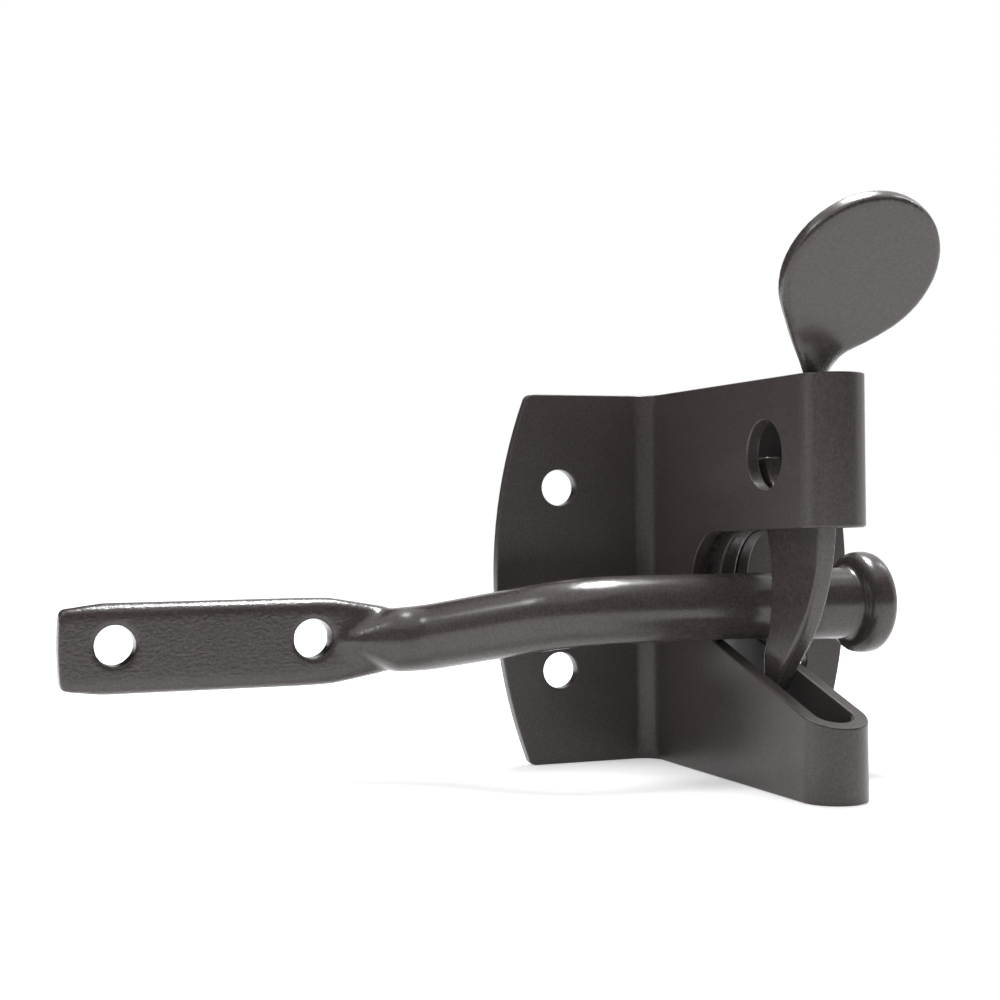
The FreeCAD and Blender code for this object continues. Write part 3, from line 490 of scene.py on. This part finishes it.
make_active(tab)
for i in range(1, len(heights)):
    step = (ease(heights[i], TWIST_FROM, TWIST_TO)
            - ease(heights[i - 1], TWIST_FROM, TWIST_TO))
    if step > 1e-6:
        turn_above(tab, i, -math.radians(90) * step, "Z", (0, NECK_Y, 0))
middle_y, middle_z = NECK_Y, TAB_FOOT + heights[0]
lean = 0.0
for i in range(1, len(heights)):
    rise = heights[i] - heights[i - 1]
    middle_y -= rise * math.sin(lean)
    middle_z += rise * math.cos(lean)
    step = (ease(heights[i], BEND_FROM, BEND_TO)
            - ease(heights[i - 1], BEND_FROM, BEND_TO))
    if step > 1e-6:
        turn_above(tab, i, TAB_LEAN * step, "X", (0, middle_y, middle_z))
        lean += TAB_LEAN * step
low = [min(v.co[k] for v in tab.data.vertices) for k in range(3)]
high = [max(v.co[k] for v in tab.data.vertices) for k in range(3)]
print("tab in mm:", [round(1000 * v, 1) for v in low], [round(1000 * v, 1) for v in high])

# %% Fuse the plate and the tab
PAWL_VOXEL, RIM_ROUND = 0.33 * MM, 0.7 * MM


def fuse_skin(piece, voxel):
    """One closed skin over all that was joined, by a voxel remesh."""
    make_active(piece)
    fuse = piece.modifiers.new("one_skin", "REMESH")
    fuse.mode = "VOXEL"
    fuse.voxel_size = voxel
    bpy.ops.object.modifier_apply(modifier=fuse.name)


def ease_surface(piece, turns, share_at=None):
    """Smooth the skin, more where share_at(point) is near 1."""
    group = ""
    if share_at:
        zone = piece.vertex_groups.new(name="zone")
        for vertex in piece.data.vertices:
            zone.add([vertex.index], share_at(vertex.co), "REPLACE")
        group = zone.name
    ease_off = piece.modifiers.new("ease_surface", "SMOOTH")
    ease_off.factor = 0.5
    ease_off.iterations = turns
    ease_off.vertex_group = group
    bpy.ops.object.modifier_apply(modifier=ease_off.name)
    piece.vertex_groups.clear()


def ramp(value, low, high):
    """Rise from 0 to 1 between two values."""
    return max(0.0, min(1.0, (value - low) / (high - low)))


make_active(tab)
bpy.ops.object.mode_set(mode="EDIT")
bpy.ops.mesh.select_all(action="SELECT")
bpy.ops.mesh.normals_make_consistent(inside=False)
bpy.ops.object.mode_set(mode="OBJECT")
disc_from = next(i for i, height in enumerate(heights) if height > TWIST_TO)
select_points(tab, lambda v: section_of[v.index] >= disc_from)
bpy.ops.mesh.dissolve_limited(angle_limit=math.radians(0.6))
bpy.ops.object.mode_set(mode="OBJECT")
rim = tab.modifiers.new("rounded_rim", "BEVEL")
rim.width = RIM_ROUND
rim.segments = 4
rim.limit_method = "ANGLE"
rim.angle_limit = math.radians(48)
rim.use_clamp_overlap = False
bpy.ops.object.modifier_apply(modifier=rim.name)
plate.select_set(True)
bpy.context.view_layer.objects.active = plate
bpy.ops.object.join()
plate.name = "pawl_with_tab"
fuse_skin(plate, PAWL_VOXEL)
ease_surface(plate, 10, lambda at: ramp(at.z, 24 * MM, 31 * MM))
ease_surface(plate, 4)
bpy.ops.object.shade_smooth()
plate.data.materials.clear()
plate.data.materials.append(pawl_paint)
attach(plate, "pawl")
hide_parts("latch_pawl")
print("pawl:", len(plate.data.polygons), "faces")

# %% [markdown]
# The striker starts as round bar. One end is pressed flat between dies, which
# leaves the round body running out as a cone on the flat face, and no sharp
# edge anywhere. A loft from section to section could follow that, but its rows
# would have to meet both ends. It is simpler to take the flat and the round part
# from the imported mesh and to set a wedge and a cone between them. A voxel remesh
# then fuses all four into one skin, as metal flows together. A little smoothing
# eases the edges, most on the flat end and least at its bolt holes.

# %% Cut the flat and the round part
FLAT_START, ROUND_END = -66.1 * MM, -56.3 * MM
FLAT_MIDDLE = -9.6 * MM
BAR_RADIUS = 5.65 * MM
FLAT_THICK, FLAT_TALL, WEDGE_TIP_TALL = 4.8 * MM, 15.2 * MM, 11.0 * MM


def cut_across(piece, x, keep_low):
    """Cut a closed piece across X and close the cut."""
    make_active(piece)
    bpy.ops.object.mode_set(mode="EDIT")
    bpy.ops.mesh.select_all(action="SELECT")
    bpy.ops.mesh.bisect(plane_co=(x, 0, 0), plane_no=(1, 0, 0), use_fill=True,
                        clear_outer=keep_low, clear_inner=not keep_low)
    bpy.ops.object.mode_set(mode="OBJECT")


flat_end = copy_of_node("striker_bar", "flat_end")
cut_across(flat_end, FLAT_START, True)
striker = copy_of_node("striker_bar", "round_bar")
cut_across(striker, ROUND_END, False)
print("flat end:", len(flat_end.data.polygons), "round bar:", len(striker.data.polygons))

# %% The wedge and the cone between them
deselect_all()
reach = ROUND_END - FLAT_START
RUN_OUT = (FLAT_START + ROUND_END) / 2
bpy.ops.mesh.primitive_cube_add(size=1.0, location=(RUN_OUT, -FLAT_THICK / 2, FLAT_MIDDLE),
                                scale=(reach + 2 * MM, FLAT_THICK, FLAT_TALL))
wedge = bpy.context.object
wedge.name = "wedge"
bpy.ops.object.transform_apply(location=True, rotation=True, scale=True)
select_points(wedge, lambda v: v.co.x > ROUND_END)
bpy.ops.transform.resize(value=(1, 1, WEDGE_TIP_TALL / FLAT_TALL),
                         center_override=(0, 0, FLAT_MIDDLE))
bpy.ops.object.mode_set(mode="OBJECT")
rounding = wedge.modifiers.new("rounded_edges", "BEVEL")
rounding.width = 1.8 * MM
rounding.segments = 5
rounding.limit_method = "ANGLE"
rounding.angle_limit = math.radians(60)
bpy.ops.object.modifier_apply(modifier=rounding.name)

deselect_all()
bpy.ops.mesh.primitive_cone_add(vertices=64, radius1=BAR_RADIUS, radius2=0.0, depth=reach,
                                location=(RUN_OUT, -BAR_RADIUS, FLAT_MIDDLE),
                                rotation=(0, -math.pi / 2, 0))
cone = bpy.context.object
cone.name = "cone"
bpy.ops.object.transform_apply(location=True, rotation=True, scale=True)
# The tip is moved into the plane of the flat's front face
select_points(cone, lambda v: v.co.x < RUN_OUT)
bpy.ops.transform.translate(value=(0, BAR_RADIUS - FLAT_THICK, 0))
bpy.ops.object.mode_set(mode="OBJECT")
print("cone from", round(1000 * min(v.co.x for v in cone.data.vertices), 1),
      "to", round(1000 * max(v.co.x for v in cone.data.vertices), 1), "mm")

# %% Fuse them and ease the edges
BAR_VOXEL = 0.42 * MM
make_active(striker)
for other in (flat_end, wedge, cone):
    other.select_set(True)
bpy.ops.object.join()
striker.name = "forged_striker"
fuse_skin(striker, BAR_VOXEL)

HOLE_MIDDLE, HOLE_PITCH, HOLE_Z = -86.675 * MM, 33.2 * MM, -9.0 * MM
HOLES = [Vector((HOLE_MIDDLE + side * HOLE_PITCH / 2, 0, HOLE_Z)) for side in (1, -1)]


def off_holes(at):
    """Nothing at the rims of the bolt holes, all of it 1.5 mm further out."""
    nearest = min(math.hypot(at.x - hole.x, at.z - hole.z) for hole in HOLES)
    return ramp(nearest, 4.0 * MM, 5.5 * MM)


ease_surface(striker, 45, lambda at: (
    ramp(-abs(at.x - RUN_OUT), -11 * MM, -5 * MM) * off_holes(at)))
ease_surface(striker, 14, lambda at: ramp(-at.x, 50 * MM, 58 * MM) * off_holes(at))
ease_surface(striker, 4)
bpy.ops.object.shade_smooth()
striker.data.materials.clear()
striker.data.materials.append(bar_paint)
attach(striker, "striker")
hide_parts("striker_bar")
print("striker:", len(striker.data.polygons), "faces")

# %% [markdown]
# The case is sheet steel, cut and folded. A cut edge of sheet is never sharp
# under powder coat. A shader can fake that edge, but an exported mesh loses it.
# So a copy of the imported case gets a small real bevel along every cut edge, and
# keeps its folds as they are. The rivet's heads get the same.

# %% Round the cut edges of the case and the rivet
EDGE_ROUND = 0.3 * MM


def smooth_and_level(piece, degrees):
    """Smooth shading whose normals follow the large faces, so flats stay flat."""
    make_active(piece)
    bpy.ops.object.shade_smooth_by_angle(angle=math.radians(degrees))
    level_normals = piece.modifiers.new("level_normals", "WEIGHTED_NORMAL")
    level_normals.keep_sharp = True
    level_normals.weight = 100
    bpy.ops.object.modifier_apply(modifier=level_normals.name)


def soften_edges(piece, width):
    """Round a merged copy's cut edges with a real bevel, and level its flats."""
    make_active(piece)
    bpy.ops.object.mode_set(mode="EDIT")
    bpy.ops.mesh.select_all(action="SELECT")
    bpy.ops.mesh.dissolve_limited(angle_limit=math.radians(0.5))
    bpy.ops.object.mode_set(mode="OBJECT")
    edge = piece.modifiers.new("soft_edge", "BEVEL")
    edge.width = width
    edge.segments = 2
    edge.limit_method = "ANGLE"
    edge.angle_limit = math.radians(55)
    edge.use_clamp_overlap = False
    bpy.ops.object.modifier_apply(modifier=edge.name)
    smooth_and_level(piece, 40)
    print(piece.name, "has", len(piece.data.polygons), "faces")


for node_name, piece_name, body, paint, slot in (
        ("latch_case", "folded_case", "case", case_paint, "case_paint"),
        ("pivot_rivet", "headed_rivet", "case", rivet_paint, "rivet_paint")):
    piece = copy_of_node(node_name, piece_name)
    soften_edges(piece, EDGE_ROUND)
    piece.data.materials.clear()
    piece.data.materials.append(paint)
    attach(piece, body)
    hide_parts(node_name)

# %% [markdown]
# The closing spring is a hairpin of hard drawn wire round the rivet. One leg
# rests on the case and stays, the other hooks over the rear edge of the pawl
# and swings with it. A rigid copy would be left behind when the pawl lifts.
# Here the hooked leg only gets a few cuts across, which it would need to bend smoothly.

# %% Cut the hooked leg of the spring across
PIVOT_Y, PIVOT_Z = -9.5 * MM, -4.5 * MM
COIL_TOP, HOOK_FOOT = 4.9 * MM, 12.4 * MM
LEG_CUTS = 6
spring = copy_of_node("closing_spring", "hairpin_spring")
make_active(spring)
bpy.ops.object.mode_set(mode="EDIT")
for cut in range(LEG_CUTS + 1):
    height = COIL_TOP + (HOOK_FOOT - COIL_TOP) * cut / LEG_CUTS
    bpy.ops.mesh.select_all(action="SELECT")
    bpy.ops.mesh.bisect(plane_co=(0, PIVOT_Y, PIVOT_Z + height), plane_no=(0, 0, 1))
bpy.ops.object.mode_set(mode="OBJECT")
bpy.ops.object.shade_smooth_by_angle(angle=math.radians(50))
spring.data.materials.clear()
spring.data.materials.append(spring_steel)
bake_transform(spring)
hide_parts("closing_spring")
print("spring:", len(spring.data.polygons), "faces")

# %% [markdown]
# The view transform stays Standard, so a colour renders about as it is written.

# %% Finish
bpy.context.scene.view_settings.view_transform = "Standard"
